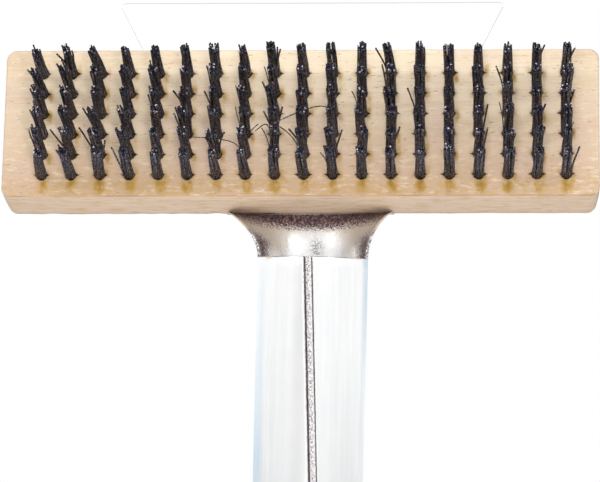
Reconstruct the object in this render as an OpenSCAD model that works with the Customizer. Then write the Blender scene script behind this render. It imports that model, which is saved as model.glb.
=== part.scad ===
// Wire block brush for a pole: a hardwood block set with tufts of coarse steel wire, and one
// formed sheet-steel bracket behind it that is a scraper above the block and a pole socket below.
// +Z runs up the socket's axis, the bristles face -Y, and the origin is the middle of the
// socket's mouth. The block leans back from the socket by the tilt angle.

/* [Block] */
// Length of the wooden block
block_l = 184; // [150:1:210]
// Width of the block's bristle face
block_w = 47; // [44:0.5:60]
// Thickness of the block
block_t = 21; // [19:0.5:26]
// Radius of the block's four corners
block_corner_r = 3; // [1:0.5:6]
// Radius of the shallow curve of the block's two ends towards its back
block_end_r = 400; // [60:1:500]
// How far the block's middle sits to the left of the socket's axis
block_shift = 2.7; // [0:0.1:4]

/* [Tufts] */
// Tufts along the block
columns = 19; // [14:1:19]
// Tufts across the block
rows = 6; // [4:1:6]
// Spacing of the tufts along the block
column_pitch = 8.96; // [7:0.01:9.3]
// Spacing of the tufts across the block
row_pitch = 6.47; // [5.5:0.01:6.8]
// Height of the first row above the block's lower edge
first_row = 7; // [5:0.1:8]
// How far the tufts' middle sits to the right of the block's middle
tuft_shift = 1.1; // [0:0.1:2]
// Length of wire that stands out of the block
trim_l = 28.6; // [12:0.1:40]
// Diameter of a tuft's hole
hole_d = 3.6; // [3:0.1:4]
// Depth of a tuft's hole
hole_depth = 13; // [8:0.5:14]
// Diameter of a tuft where it leaves the block
tuft_foot_d = 3; // [2:0.1:3.4]
// Diameter of a tuft at its cut ends
tuft_tip_d = 3.4; // [2:0.1:4]

/* [Bracket] */
// Outside diameter of the pole that the socket takes
pole_d = 31.75; // [25.4:0.05:38.1]
// Gap between the pole and the socket's wall, all round
pole_gap = 0.125; // [0.05:0.005:0.4]
// Thickness of the sheet steel
sheet_t = 1; // [0.8:0.1:1.5]
// Length of the closed socket
socket_l = 115; // [80:1:160]
// Length of the open trough between the socket and the block
neck_l = 14.6; // [10:0.1:25]
// Angle between the socket and the block
tilt = 12; // [5:0.5:20]
// How far the block and the scraper are turned to the left about the socket
skew = 1.2; // [0:0.1:3]
// Width of the scraper's edge
scraper_w = 121.4; // [100:0.1:140]
// Height of the scraper's edge above the block's lower edge
scraper_h = 68.8; // [65:0.1:85]
// Radius of the scraper's two corners
scraper_corner_r = 1.8; // [0.5:0.1:5]
// Width of the folded seam down the socket
seam_w = 1.8; // [1.5:0.1:5]
// Height of the folded seam above the socket's wall
seam_h = 0.6; // [0.3:0.1:1]
// Angle of the seam's middle from the front, to the right
seam_angle = 5.3; // [-10:0.1:10]
// Angle of the seam from upright, leaning to the left as it goes up
seam_slant = 2.2; // [0:0.1:3]

/* [Screws] */
// Length of a bracket screw under its head
screw_l = 12; // [8:1:15]
// Thread diameter of a bracket screw
screw_d = 3.5; // [3:0.1:4]
// Diameter of a bracket screw's head
screw_head_d = 6.8; // [6:0.1:8]

/* [Pole lock] */
// Height of the locking screw above the socket's mouth
lock_z = 22; // [16:1:40]
// Thread diameter of the locking screw
lock_d = 6.2; // [5:0.1:8]
// Diameter of the swivel pad at the locking screw's tip
pad_d = 8.4; // [7:0.1:9]
// Width of the hexagonal nut across its flats
nut_af = 14; // [12:0.5:16]
// Distance between the wing tips
wing_span = 27; // [20:1:30]

/* [Hidden] */
$fn = 64;
function tuft_name(c) = str("tufts_column_", c < 9 ? "0" : "", c + 1);

cut = 0.5;
fit_gap = 0.05;
socket_r = pole_d / 2 + pole_gap;
shell_r = socket_r + sheet_t;
mid_r = socket_r + sheet_t / 2;

// The blank is as wide as half the socket's girth on each side, until the scraper widens it.
blank_half_w = 90 * mid_r * PI / 180;
bend_r = neck_l * 180 / (PI * tilt);
curl_power = 0.58;
neck_inset = 0.05;
neck_tuck = 0.6;
neck_steps_along = 16;
neck_steps_across = 32;
skew_z = 58;
side_angle = atan((scraper_w / 2 - blank_half_w) / scraper_h);
corner_steps = 6;
groove_w = 0.35;
groove_depth = 0.3;

end_lead = 2;
end_reach = 6;

anchor_w = 5;
anchor_t = 0.5;
anchor_h = 1.6;
anchor_lift = 1.2;
tear_w = 5.6;
tear_h = 3.4;
tear_depth = 1.2;

screw_rise = 2.6;
screw_slot_w = 0.9;
screw_slot_depth = 1.1;
screw_tip_l = 3;
screw_column_near = 2.5;
screw_column_far = 3.5;

pad_rest_x = socket_r + 0.15;
pad_t = 1.2;
pad_hole_r = pad_d / 2 + 0.2;
pocket_top_x = pad_rest_x + pad_t + 0.25;
pin_r = 1.2;
pin_l = 0.6;
nut_top_x = shell_r + 7;
thread_gap = 0.08;
hub_x = nut_top_x + 5;
hub_h = 5;
hub_r = 4.8;
wing_t = 2.6;
wing_lobe_r = 4.6;
wing_rise = 7;

// Puts children in the block's frame: X along the block, Y towards its back, Z up its face,
// with the origin in the middle of the sheet at the block's lower edge. The skew turns the
// whole frame about a point half-way up the socket.
module block_frame() {
    translate([0, 0, skew_z]) rotate([0, -skew, 0]) translate([0, 0, -skew_z])
        translate([0, mid_r + bend_r * (1 - cos(tilt)), socket_l + bend_r * sin(tilt)])
            rotate([-tilt, 0, 0])
                children();
}

// Distance along X, from the socket's axis, of the line c pitches from the tufts' middle.
function column_x(c) = tuft_shift - block_shift + c * column_pitch;
function row_z(r) = first_row + r * row_pitch;
face_y = -sheet_t / 2 - block_t;
back_y = -sheet_t / 2;

// Puts children on the bristle face, at row r of the line c pitches from the middle, with
// +Z pointing out of the wood.
module at_tuft(c, r) {
    translate([column_x(c), face_y, row_z(r)]) rotate([90, 0, 0]) children();
}

module at_column(c) {
    for (r = [0 : rows - 1]) at_tuft(c - (columns - 1) / 2, r) children();
}

// Puts children at the four bracket screws, with +Z pointing out of the block's back. They
// stand midway between the tuft holes.
module at_screws() {
    for (side = [-1, 1]) {
        translate([column_x(side * screw_column_near), back_y, row_z(0.5)])
            rotate([-90, 0, 0]) children();
        translate([column_x(side * screw_column_far), back_y, row_z(rows - 1.5)])
            rotate([-90, 0, 0]) children();
    }
}

// Puts children on the locking screw's axis, with +Z pointing out of the socket.
module at_lock() {
    translate([0, 0, lock_z]) rotate([0, 90, 0]) children();
}

module anchor(gap) {
    translate([0, 0, -hole_depth + anchor_lift + anchor_h / 2])
        cube([anchor_w + 2 * gap, anchor_t + 2 * gap, anchor_h + 2 * gap], center = true);
}

// What the curve of the block's two ends takes away. Each curve starts just in front of the
// face, so that it leaves nothing of the flat end.
module end_waste() {
    for (side = [-1, 1])
        translate([side * (block_l / 2 - block_end_r), face_y - end_lead, -cut]) difference() {
            translate([side * block_end_r - end_reach, 0, 0])
                cube([2 * end_reach, block_t + end_lead + cut, block_w + 2 * cut]);
            translate([0, 0, -cut]) cylinder(r = block_end_r, h = block_w + 4 * cut, $fn = 360);
        }
}

// A tuft's hole with the marks its anchor leaves: a slot on each side, cut as the anchor is
// driven down to the bottom, and the wood torn to a point on each side at the face.
module tuft_hole() {
    slot_w = anchor_w + fit_gap;
    slot_t = anchor_t + fit_gap;
    slot_z = -hole_depth + anchor_lift - fit_gap / 2;
    translate([0, 0, -hole_depth]) cylinder(d = hole_d, h = hole_depth + cut);
    translate([-slot_w / 2, -slot_t / 2, slot_z]) cube([slot_w, slot_t, cut - slot_z]);
    translate([0, 0, -tear_depth]) linear_extrude(tear_depth + cut)
        polygon([[-tear_w / 2, 0], [0, -tear_h / 2], [tear_w / 2, 0], [0, tear_h / 2]]);
}

module block_outline() {
    hw = block_l / 2 - block_corner_r;
    hh = block_w / 2 - block_corner_r;
    square([2 * hw, block_w], center = true);
    square([block_l, 2 * hh], center = true);
    for (x = [-hw, hw], y = [-hh, hh]) translate([x, y]) circle(r = block_corner_r);
}

// The wooden block, drilled from the front for the tufts and from the back for the screws.
module brush_block() {
    color("burlywood") block_frame() difference() {
        translate([-block_shift, back_y, block_w / 2])
            rotate([90, 0, 0]) linear_extrude(block_t) block_outline();
        translate([-block_shift, 0, 0]) end_waste();
        for (c = [0 : columns - 1]) at_column(c) tuft_hole();
        at_screws() translate([0, 0, -screw_l - fit_gap])
            cylinder(d = screw_d + 2 * fit_gap, h = screw_l + cut);
    }
}

// One tuft: a bundle of wire folded round its anchor at the bottom of its hole.
module tuft() {
    difference() {
        union() {
            translate([0, 0, -hole_depth + fit_gap])
                cylinder(d = hole_d - 2 * fit_gap, h = hole_depth - fit_gap);
            cylinder(d1 = tuft_foot_d, d2 = tuft_tip_d, h = trim_l);
        }
        anchor(fit_gap / 2);
    }
}

module tufts_column(c) {
    color("dimgray") block_frame() at_column(c) tuft();
}

// The flat wire staples that hold the tufts, one across the fold of each.
module tuft_anchors() {
    color("silver") block_frame() for (c = [0 : columns - 1]) at_column(c) anchor(0);
}

// Where along the neck's curl a section is: 0 at the block, 1 at the socket. Values outside
// that run straight on into the scraper and the socket, so that the pieces join.
function in_neck(v) = min(max(v, 0), 1);
function lean_at(v) = tilt * (1 - in_neck(v));
function curl_at(v) = 90 * pow(sin(90 * in_neck(v)), curl_power);
function spine_y(v) = mid_r + bend_r * (1 - cos(lean_at(v))) + max(-v, 0) * neck_l * sin(tilt);
function spine_z(v) = socket_l + bend_r * sin(lean_at(v)) + max(-v, 0) * neck_l * cos(tilt)
    - max(v - 1, 0) * neck_l;

// The skew fades out down the neck, so that it meets the socket upright.
function skew_at(v) = skew * (1 + cos(180 * in_neck(v))) / 2;
function skewed(p, s) =
    [
        p[0] * cos(s) - (p[2] - skew_z) * sin(s),
        p[1],
        skew_z + (p[2] - skew_z) * cos(s) + p[0] * sin(s)
    ];

// A point of the sheet: v along the neck, a from -1 to 1 across it, and w out from its middle.
// The width stays the same, so the sheet's radius shrinks as it curls forward.
function sheet_point(v, a, w) =
    let (
        half_w = blank_half_w - neck_inset,
        curl = curl_at(v),
        r = curl > 0 ? half_w * 180 / (PI * curl) : 0,
        x = curl > 0 ? (r + w) * sin(a * curl) : a * half_w,
        forward = curl > 0 ? r - (r + w) * cos(a * curl) : -w,
        y = spine_y(v) - forward * cos(lean_at(v)),
        z = spine_z(v) + forward * sin(lean_at(v))
    )
    skewed([x, y, z], skew_at(v));

// The open trough from the block down to the socket, swept as one closed skin.
module neck() {
    n = neck_steps_across;
    tuck = neck_tuck / neck_l;
    steps = concat([-tuck], [for (i = [0 : neck_steps_along]) i / neck_steps_along], [1 + tuck]);
    half_t = sheet_t / 2 - neck_inset;
    ring = 2 * (n + 1);
    last = (len(steps) - 1) * ring;
    points = [
        for (v = steps) each concat(
            [for (i = [0 : n]) sheet_point(v, 2 * i / n - 1, half_t)],
            [for (i = [n : -1 : 0]) sheet_point(v, 2 * i / n - 1, -half_t)])
    ];
    sides = [
        for (s = [0 : len(steps) - 2], i = [0 : ring - 1])
            let (p = s * ring + i, q = s * ring + (i + 1) % ring)
            each [[p, q + ring, q], [p, p + ring, q + ring]]
    ];
    ends = [
        for (i = [0 : n - 1])
            let (p = i, q = i + 1, r = ring - 2 - i, t = ring - 1 - i)
            each [
                [p, q, r], [p, r, t],
                [last + p, last + r, last + q], [last + p, last + t, last + r]
            ]
    ];
    polyhedron(points, concat(sides, ends));
}

// The flat part of the sheet: a trapezoid that backs the block and ends in the scraper's edge.
module scraper_outline() {
    edge_x = scraper_w / 2 - scraper_corner_r * (1 + sin(side_angle)) / cos(side_angle);
    edge_z = scraper_h - scraper_corner_r;
    corner = [
        for (i = [0 : corner_steps])
            let (a = -side_angle + i * (90 + side_angle) / corner_steps)
            [edge_x + scraper_corner_r * cos(a), edge_z + scraper_corner_r * sin(a)]
    ];
    mirrored = [for (i = [corner_steps : -1 : 0]) [-corner[i][0], corner[i][1]]];
    polygon(concat([[-blank_half_w, 0], [blank_half_w, 0]], corner, mirrored));
}

module scraper() {
    difference() {
        translate([0, sheet_t / 2, 0]) rotate([90, 0, 0]) linear_extrude(sheet_t) scraper_outline();
        at_screws() translate([0, 0, -cut])
            cylinder(d = screw_d + 0.5, h = sheet_t + 2 * cut);
    }
}

// A bar along the seam, from inside the socket to clear of its wall and past both its ends:
// its middle x from the seam's, and its width.
module seam_bar(x, w) {
    rotate([0, 0, seam_angle]) translate([0, 0, socket_l / 2]) rotate([0, -seam_slant, 0])
        translate([x - w / 2, -shell_r - seam_h - cut, -socket_l / 2 - cut])
            cube([w, shell_r, socket_l + 2 * cut]);
}

// The closed part of the sheet: a tube with a folded seam, a groove on each side of the seam
// and a hole for the lock's pad.
module socket() {
    groove_x = (seam_w + groove_w) / 2;
    difference() {
        union() {
            cylinder(r = shell_r, h = socket_l);
            intersection() {
                cylinder(r = shell_r + seam_h, h = socket_l);
                seam_bar(0, seam_w);
            }
        }
        translate([0, 0, -cut]) cylinder(r = socket_r, h = socket_l + 2 * cut);
        for (x = [-groove_x, groove_x]) difference() {
            seam_bar(x, groove_w);
            translate([0, 0, -2 * cut]) cylinder(r = shell_r - groove_depth, h = socket_l + 4 * cut);
        }
        at_lock() cylinder(r = pad_hole_r, h = shell_r + cut);
    }
}

// The whole bracket, which is one sheet of steel on the real thing.
module handle_bracket() {
    color("gainsboro") {
        socket();
        neck();
        block_frame() scraper();
    }
}

// Round-headed, slotted wood screws that hold the bracket to the block's back.
module bracket_screw() {
    head_r = screw_head_d / 2;
    dome_r = (head_r * head_r + screw_rise * screw_rise) / (2 * screw_rise);
    difference() {
        union() {
            intersection() {
                translate([0, 0, sheet_t + screw_rise - dome_r]) sphere(r = dome_r);
                translate([0, 0, sheet_t]) cylinder(r = head_r + cut, h = screw_rise + cut);
            }
            translate([0, 0, screw_tip_l - screw_l])
                cylinder(d = screw_d, h = screw_l - screw_tip_l + sheet_t + cut);
            translate([0, 0, -screw_l])
                cylinder(d1 = screw_d / 4, d2 = screw_d, h = screw_tip_l);
        }
        translate([-head_r, -screw_slot_w / 2, sheet_t + screw_rise - screw_slot_depth])
            cube([2 * head_r, screw_slot_w, screw_rise]);
    }
}

module bracket_screws() {
    color("lightsteelblue") block_frame() at_screws() bracket_screw();
}

// The nut welded over the hole in the socket. A pocket under it takes the pad when it is
// wound right out.
module lock_nut() {
    corner_r = nut_af / (2 * cos(30));
    color("silver") difference() {
        at_lock() intersection() {
            cylinder(r = corner_r, h = nut_top_x, $fn = 6);
            translate([0, 0, nut_top_x - 2 * corner_r])
                cylinder(r1 = 2.5 * corner_r, r2 = nut_af / 2 - 0.2, h = 2 * corner_r);
        }
        translate([0, 0, -cut]) cylinder(r = shell_r + fit_gap / 2, h = socket_l);
        at_lock() cylinder(d = lock_d + 2 * thread_gap, h = nut_top_x + cut);
        at_lock() cylinder(r = pad_hole_r, h = pocket_top_x);
    }
}

// The pad that presses on the pole. It slides with the screw but doesn't turn with it.
module lock_pad() {
    color("darkgoldenrod") at_lock() translate([0, 0, pad_rest_x]) difference() {
        cylinder(d = pad_d, h = pad_t);
        translate([0, 0, pad_t - pin_l - fit_gap]) cylinder(r = pin_r + fit_gap, h = pad_t);
    }
}

module wing_outline() {
    lobe_x = wing_span / 2 - wing_lobe_r;
    lobe_z = hub_x + hub_h + wing_rise - wing_lobe_r;
    for (side = [-1, 1]) {
        translate([side * lobe_x, lobe_z]) circle(r = wing_lobe_r);
        polygon([
            [0, hub_x + 0.5],
            [side * (lobe_x + 0.75 * wing_lobe_r), lobe_z - 0.66 * wing_lobe_r],
            [side * (lobe_x - 0.6 * wing_lobe_r), lobe_z + 0.8 * wing_lobe_r],
            [0, hub_x + hub_h - 0.5]
        ]);
    }
}

// The wing screw that locks the pole.
module lock_screw() {
    tip_x = pad_rest_x + pad_t + fit_gap;
    color("silver") at_lock() {
        translate([0, 0, tip_x - fit_gap - pin_l]) cylinder(r = pin_r, h = pin_l + 2 * fit_gap);
        translate([0, 0, tip_x]) cylinder(d = lock_d, h = hub_x + 1 - tip_x);
        translate([0, 0, hub_x]) cylinder(r1 = hub_r, r2 = 0.8 * hub_r, h = hub_h);
        translate([0, wing_t / 2, 0]) rotate([90, 0, 0]) linear_extrude(wing_t) wing_outline();
    }
}

brush_block();
handle_bracket();
bracket_screws();
tuft_anchors();
lock_nut();
lock_screw();
lock_pad();
for (c = [0 : columns - 1])
    tufts_column(c);
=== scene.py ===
"""Looks of the wire block brush: wood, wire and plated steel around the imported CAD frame."""

import math
import random

import bmesh
import bpy
from mathutils import Matrix, Vector, noise


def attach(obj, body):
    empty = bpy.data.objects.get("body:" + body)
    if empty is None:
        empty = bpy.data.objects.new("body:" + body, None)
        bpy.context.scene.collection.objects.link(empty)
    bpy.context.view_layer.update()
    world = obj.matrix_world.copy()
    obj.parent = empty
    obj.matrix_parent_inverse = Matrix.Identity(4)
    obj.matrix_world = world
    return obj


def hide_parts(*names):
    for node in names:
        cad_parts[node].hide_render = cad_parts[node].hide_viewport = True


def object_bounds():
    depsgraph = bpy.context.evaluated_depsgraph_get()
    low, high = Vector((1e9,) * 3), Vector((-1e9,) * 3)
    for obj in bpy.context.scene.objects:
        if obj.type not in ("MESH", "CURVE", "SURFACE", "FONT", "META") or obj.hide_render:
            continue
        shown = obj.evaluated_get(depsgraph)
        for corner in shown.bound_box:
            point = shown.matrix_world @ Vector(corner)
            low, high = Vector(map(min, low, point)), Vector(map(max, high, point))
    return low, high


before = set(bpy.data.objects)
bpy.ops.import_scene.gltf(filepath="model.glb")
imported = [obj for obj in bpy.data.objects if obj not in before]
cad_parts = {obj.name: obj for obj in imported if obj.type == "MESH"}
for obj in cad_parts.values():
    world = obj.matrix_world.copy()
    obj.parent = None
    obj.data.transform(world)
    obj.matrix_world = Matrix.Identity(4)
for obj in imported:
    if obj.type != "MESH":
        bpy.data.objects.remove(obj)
cad_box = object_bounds()

# ---------------------------------------------------------------- sizes, in millimetres
MM = 0.001
TILT = math.radians(12)
SOCKET_L, SOCKET_R, SHEET_T = 115.0, 16.0, 1.0
MID_R = SOCKET_R + SHEET_T / 2
NECK_L = 14.6
BEND_R = NECK_L / TILT
BLANK_HALF_W = MID_R * math.pi / 2
CURL_POWER = 0.58
SCRAPER_HALF_W, SCRAPER_H, SCRAPER_CORNER_R = 60.7, 68.8, 1.8
SEAM_HALF_W, SEAM_H = 0.87, 0.6
SEAM_MIDDLE, SEAM_SLANT = math.radians(5.3), math.radians(-0.14)
SKEW, SKEW_Z = math.radians(1.2), 58.0

BLOCK_L, BLOCK_W, BLOCK_T, BLOCK_SHIFT = 184.0, 47.0, 21.0, 2.7
BLOCK_CORNER_R, BLOCK_END_R, BLOCK_END_LEAD = 3.0, 400.0, 2.0
BLOCK_END_SLOPE, BLOCK_EDGE_R = 0.022, 0.55
COLUMNS, ROWS, COLUMN_PITCH, ROW_PITCH, FIRST_ROW, TUFT_SHIFT = 19, 6, 8.96, 6.47, 7.0, 1.1
HOLE_R, HOLE_DEPTH, TEAR_L, TEAR_H, TEAR_DEPTH = 1.66, 13.0, 2.5, 1.15, 1.2
TRIM_L, ANCHOR_T, ANCHOR_BOTTOM, WIRE_R = 28.6, 0.5, -11.8, 0.275

LOCK_Z, PAD_HOLE_R = 22.0, 4.4
BLOCK_SEED, TUFT_SEED = 11, 23


def skewed(share):
    """The turn, out of line with the socket, of what is above it: a share of the whole skew."""
    pivot = Vector((0, 0, SKEW_Z * MM))
    turn = Matrix.Rotation(-SKEW * share, 4, "Y")
    return Matrix.Translation(pivot) @ turn @ Matrix.Translation(-pivot)


# The block's frame: X along it, Y towards its back, Z up its face.
BLOCK = skewed(1) @ Matrix.Translation(Vector((
    0, MID_R + BEND_R * (1 - math.cos(TILT)), SOCKET_L + BEND_R * math.sin(TILT)
)) * MM) @ Matrix.Rotation(-TILT, 4, "X")
FACE_Y = -SHEET_T / 2 - BLOCK_T


def column_x(c):
    """Distance along X from the socket's axis of the line c pitches from the tufts' middle."""
    return TUFT_SHIFT - BLOCK_SHIFT + c * COLUMN_PITCH


# ---------------------------------------------------------------- node helpers
def add(tree, kind, inputs=None, **settings):
    """A node, with its settings and its inputs: each a value or another node's socket."""
    made = tree.nodes.new(kind)
    for name, value in settings.items():
        setattr(made, name, value)
    for name, value in (inputs or {}).items():
        if isinstance(value, bpy.types.NodeSocket):
            tree.links.new(value, made.inputs[name])
        else:
            made.inputs[name].default_value = value
    return made


def coordinates(tree, scale):
    """Object coordinates, stretched by a scale along each axis."""
    place = add(tree, "ShaderNodeTexCoord").outputs["Object"]
    return add(tree, "ShaderNodeMapping", {"Vector": place, "Scale": scale}).outputs[0]


def noise_of(tree, scale, detail=2.0, roughness=0.5, distortion=0.0):
    """Noise from 0 to 1, with a number of periods a metre along each axis."""
    return add(tree, "ShaderNodeTexNoise", {
        "Vector": coordinates(tree, scale), "Scale": 1.0, "Detail": detail,
        "Roughness": roughness, "Distortion": distortion,
    }).outputs["Fac"]


def ramp(tree, factor, *stops):
    """A colour from a factor, through stops of a position and a colour."""
    made = add(tree, "ShaderNodeValToRGB", {"Fac": factor})
    band = made.color_ramp
    while len(band.elements) < len(stops):
        band.elements.new(0.5)
    for element, (position, colour) in zip(band.elements, stops):
        element.position = position
        element.color = (*colour, 1)
    return made.outputs["Color"]


def window(tree, factor, low, high, to_low=0.0, to_high=1.0):
    """A smooth step: to_low up to the value low, and to_high from the value high on."""
    return add(tree, "ShaderNodeMapRange", {
        "Value": factor, "From Min": low, "From Max": high, "To Min": to_low, "To Max": to_high,
    }, interpolation_type="SMOOTHSTEP").outputs[0]


def maths(tree, operation, a, b=0.0):
    """The outcome of an operation on two values or sockets."""
    made = add(tree, "ShaderNodeMath", operation=operation)
    for socket, value in zip(made.inputs, (a, b)):
        if isinstance(value, bpy.types.NodeSocket):
            tree.links.new(value, socket)
        else:
            socket.default_value = value
    return made.outputs[0]


def mixed(tree, factor, a, b, blend="MIX"):
    """Colour a, with colour b over it by the factor."""
    made = add(tree, "ShaderNodeMix", data_type="RGBA", blend_type=blend)
    for socket, value in ((made.inputs[0], factor), (made.inputs[6], a), (made.inputs[7], b)):
        if isinstance(value, bpy.types.NodeSocket):
            tree.links.new(value, socket)
        else:
            socket.default_value = (*value, 1) if isinstance(value, tuple) else value
    return made.outputs[2]


def bumped(tree, height, strength, distance):
    """A normal from a height; the distance is in metres."""
    return add(tree, "ShaderNodeBump", {
        "Height": height, "Strength": strength, "Distance": distance,
    }).outputs[0]


def attribute(tree, name):
    """A value that the mesh holds at each vertex."""
    return add(tree, "ShaderNodeAttribute", attribute_name=name).outputs["Fac"]


def new_material(name, **constants):
    """A material, its node tree and its shader, whose constant inputs are set."""
    material = bpy.data.materials.new(name)
    material.use_nodes = True
    tree = material.node_tree
    surface = tree.nodes["Principled BSDF"]
    for socket, value in constants.items():
        surface.inputs[socket.replace("_", " ")].default_value = value
    return material, tree, surface


def feed(tree, surface, **sockets):
    """Links sockets to the shader's inputs."""
    for name, socket in sockets.items():
        tree.links.new(socket, surface.inputs[name.replace("_", " ")])


# ---------------------------------------------------------------- materials
# The wood's pith, as its end grain's rings see it, in metres from the block's lower front edge.
PITH, YEAR_RING, WAVINESS = (0, -0.045, 0.03), 0.0021, 0.004


def wood_material():
    """Pale planed hardwood, grain along X, stained round the tufts, darker along its lower front
    edge, and lighter towards the top as painted light from above.
    """
    material, tree, surface = new_material("wood", Specular_IOR_Level=0.28)
    place = add(tree, "ShaderNodeSeparateXYZ", {
        "Vector": add(tree, "ShaderNodeTexCoord").outputs["Object"],
    })
    # The face grows lighter from its lower edge to its top: painted light, as if falling from
    # above.
    rise = window(tree, place.outputs["Z"], 0.0, BLOCK_W * MM)
    colour = ramp(
        tree, rise,
        (0.0, (0.54, 0.37, 0.23)), (0.14, (0.76, 0.56, 0.39)), (0.4, (0.90, 0.72, 0.53)),
        (0.8, (0.94, 0.78, 0.58)), (1.0, (0.91, 0.77, 0.57)),
    )
    near_end = maths(tree, "ABSOLUTE", maths(tree, "ADD", place.outputs["X"], BLOCK_SHIFT * MM))
    end_zone = window(tree, near_end, (BLOCK_L / 2 - 18) * MM, (BLOCK_L / 2 - 4) * MM, 0, 0.5)
    colour = mixed(tree, end_zone, colour, (0.62, 0.47, 0.33))
    rings = noise_of(tree, (9, 150, 150), 3, 0.6, 0.6)
    colour = mixed(tree, window(tree, rings, 0.42, 0.68, 0, 0.45), colour, (0.68, 0.49, 0.31))
    blotch = noise_of(tree, (45, 70, 70), 2, 0.5)
    colour = mixed(tree, window(tree, blotch, 0.45, 0.75, 0, 0.5), colour, (0.74, 0.53, 0.44))
    grain = noise_of(tree, (60, 1500, 1500), 3, 0.7)
    colour = mixed(tree, window(tree, grain, 0.5, 0.8, 0, 0.45), colour, (0.58, 0.40, 0.25))
    pale = noise_of(tree, (260, 900, 900), 2, 0.6)
    colour = mixed(tree, window(tree, pale, 0.5, 0.75, 0, 0.45), colour, (0.93, 0.80, 0.60))
    pores = noise_of(tree, (420, 1700, 1700), 1, 0.5)
    colour = mixed(tree, window(tree, pores, 0.66, 0.78, 0, 0.55), colour, (0.36, 0.22, 0.13))

    from_pith = add(tree, "ShaderNodeVectorMath", {
        "Vector": add(tree, "ShaderNodeMapping", {
            "Vector": add(tree, "ShaderNodeTexCoord").outputs["Object"],
            "Location": PITH, "Scale": (0, 1, 1),
        }).outputs[0],
    }, operation="LENGTH").outputs["Value"]
    wavy = maths(tree, "MULTIPLY", noise_of(tree, (90, 90, 90), 2, 0.5), WAVINESS)
    years = maths(tree, "MULTIPLY", maths(tree, "ADD", from_pith, wavy), math.tau / YEAR_RING)
    late_wood = window(tree, maths(tree, "SINE", years), 0.2, 1.0, 0, 0.7)
    end_grain = mixed(tree, late_wood, (0.66, 0.49, 0.32), (0.42, 0.27, 0.16))
    end_pores = noise_of(tree, (600, 2600, 2600), 2, 0.6)
    pored = window(tree, end_pores, 0.6, 0.72, 0, 0.5)
    end_grain = mixed(tree, pored, end_grain, (0.28, 0.18, 0.1))

    dust = add(tree, "ShaderNodeTexNoise", {
        "Vector": coordinates(tree, (2600, 2600, 2600)), "Scale": 1.0, "Detail": 1.0,
    }).outputs["Color"]
    colour = mixed(tree, 0.5, colour, dust, "SOFT_LIGHT")

    mottle = window(tree, noise_of(tree, (450, 450, 900), 3, 0.7), 0.46, 0.62, 0, 0.5)
    low_band = window(tree, place.outputs["Z"], 7.5 * MM, 3.5 * MM)
    colour = mixed(tree, maths(tree, "MULTIPLY", low_band, mottle), colour, (0.56, 0.35, 0.12))
    stain = attribute(tree, "stain")
    soaked = noise_of(tree, (500, 500, 500), 3, 0.6)
    for low, high, soak, tone in (
        (0, 1, (0.3, 0.6, 0.4, 1.0), (0.46, 0.27, 0.05)),
        (0.9, 1.8, (0.4, 0.6, 0.2, 0.8), (0.30, 0.17, 0.06)),
    ):
        amount = maths(
            tree, "MULTIPLY", window(tree, stain, low, high), window(tree, soaked, *soak)
        )
        colour = mixed(tree, amount, colour, tone)
    # Dark torn fibres at each hole's rim, and painted shade that deepens down the tear and the
    # hole.
    colour = mixed(tree, attribute(tree, "torn"), colour, (0.14, 0.07, 0.04))
    streak = noise_of(tree, (40, 700, 700), 3, 0.6)
    sawn = mixed(tree, window(tree, streak, 0.35, 0.7), (0.93, 0.74, 0.57), (0.86, 0.62, 0.47))
    oily = noise_of(tree, (160, 400, 400), 3, 0.7)
    sawn = mixed(tree, window(tree, oily, 0.48, 0.66, 0, 0.55), sawn, (0.66, 0.46, 0.14))
    colour = mixed(tree, maths(tree, "MULTIPLY", attribute(tree, "side"), 0.85), colour, sawn)
    colour = mixed(tree, attribute(tree, "end"), colour, end_grain)
    # Darker along the lower front edge, and a little along the back edge, broken up by the grain.
    darkening = maths(tree, "MULTIPLY", attribute(tree, "edge"), window(tree, grain, 0.3, 0.6, 0.3, 1))
    colour = mixed(tree, darkening, colour, (0.30, 0.19, 0.12))

    height = maths(tree, "ADD", grain, maths(tree, "MULTIPLY", pores, 0.6))
    feed(
        tree, surface, Base_Color=colour,
        Roughness=window(tree, grain, 0.2, 0.8, 0.5, 0.72),
        Normal=bumped(tree, height, 0.35, 0.00012),
    )
    return material


def wire_material():
    """Oil-tempered steel wire: near black, blue to brown from wire to wire, with painted glints in
    small light grey patches.
    """
    material, tree, surface = new_material(
        "wire", Metallic=0.9, Specular_Tint=(0.42, 0.42, 0.47, 1)
    )
    tint = attribute(tree, "tint")
    colour = ramp(
        tree, tint,
        (0.0, (0.046, 0.062, 0.056)), (0.35, (0.056, 0.054, 0.110)),
        (0.7, (0.054, 0.054, 0.060)), (1.0, (0.140, 0.080, 0.055)),
    )
    # Light grey patches along the wires: painted glints.
    patch = noise_of(tree, (2300, 1100, 2300), 2, 0.7)
    colour = mixed(tree, window(tree, patch, 0.52, 0.62), colour, (0.68, 0.66, 0.72))
    feed(
        tree, surface, Base_Color=colour,
        Roughness=window(tree, patch, 0.3, 0.7, 0.3, 0.5),
        Normal=bumped(tree, patch, 0.3, 0.00005),
    )
    return material


def cut_wire_material():
    """A wire's sheared end: dark, with a painted highlight on a few ends."""
    material, tree, surface = new_material("wire_end", Metallic=1.0)
    shear = noise_of(tree, (4000, 9000, 4000), 1, 0.5)
    dull = ramp(tree, shear, (0.3, (0.015, 0.013, 0.02)), (0.7, (0.07, 0.06, 0.09)))
    # A few ends, chosen at random through their tint, are painted light grey: painted highlights.
    bright = window(tree, attribute(tree, "tint"), 0.80, 0.98)
    feed(
        tree, surface, Base_Color=mixed(tree, bright, dull, (0.82, 0.80, 0.86)),
        Roughness=window(tree, shear, 0.3, 0.7, 0.25, 0.5),
    )
    return material


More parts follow.
